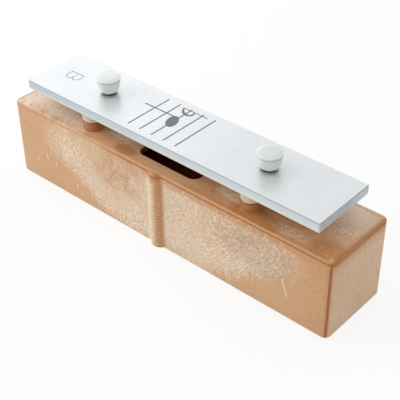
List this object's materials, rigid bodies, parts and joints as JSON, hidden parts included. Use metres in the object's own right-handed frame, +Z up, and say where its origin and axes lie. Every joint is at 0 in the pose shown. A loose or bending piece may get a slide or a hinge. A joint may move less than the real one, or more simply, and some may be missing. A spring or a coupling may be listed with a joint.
{
  "type": "resonator bar",
  "caption": "Tuned aluminium bar held by knobbed pins on soft cushions above a hollow moulded resonator box with a sound mouth.",
  "frame": {"origin": "on the ground under the middle of the box", "axes": "+X along the bar towards its right-hand end, +Y across the box away from the side in view, +Z up"},
  "size_m": [0.25, 0.0584, 0.0826],
  "materials": {
    "casing": "satin, wood-coloured moulded plastic with a pale bloom",
    "plate": "satin, wood-coloured moulded plastic",
    "aluminium": "fine satin with a dark printed note",
    "knob": "glossy off-white",
    "sleeve": "soft, pale grey",
    "cushion": "soft, pale grey",
    "steel": "plain bright steel",
    "rubber": "matt black"
  },
  "bodies": {
    "resonator": {"resonator_shell": "casing", "base_plate": "plate", "base_screw_1": "steel", "base_screw_2": "steel", "base_screw_3": "steel", "base_screw_4": "steel", "base_screw_5": "steel", "base_screw_6": "steel", "rubber_foot_1": "rubber", "rubber_foot_2": "rubber", "rubber_foot_3": "rubber", "rubber_foot_4": "rubber", "bar_cushion_1": "cushion", "bar_cushion_2": "cushion", "bar_cushion_3": "cushion", "bar_cushion_4": "cushion"},
    "bar": {"sound_bar": "aluminium"},
    "left_retainer": {"left_pin": "steel", "left_sleeve": "sleeve", "left_knob": "knob"},
    "right_retainer": {"right_pin": "steel", "right_sleeve": "sleeve", "right_knob": "knob"}
  },
  "joints": [
    {"name": "bar_lift", "type": "slide", "parent": "resonator", "child": "bar", "axis": [0, 0, 1], "range_m": [0, 0.001]},
    {"name": "left_retainer_pull", "type": "slide", "parent": "resonator", "child": "left_retainer", "axis": [0, 0, 1], "range_m": [0, 0.04]},
    {"name": "right_retainer_pull", "type": "slide", "parent": "resonator", "child": "right_retainer", "axis": [0, 0, 1], "range_m": [0, 0.04]}
  ]
}
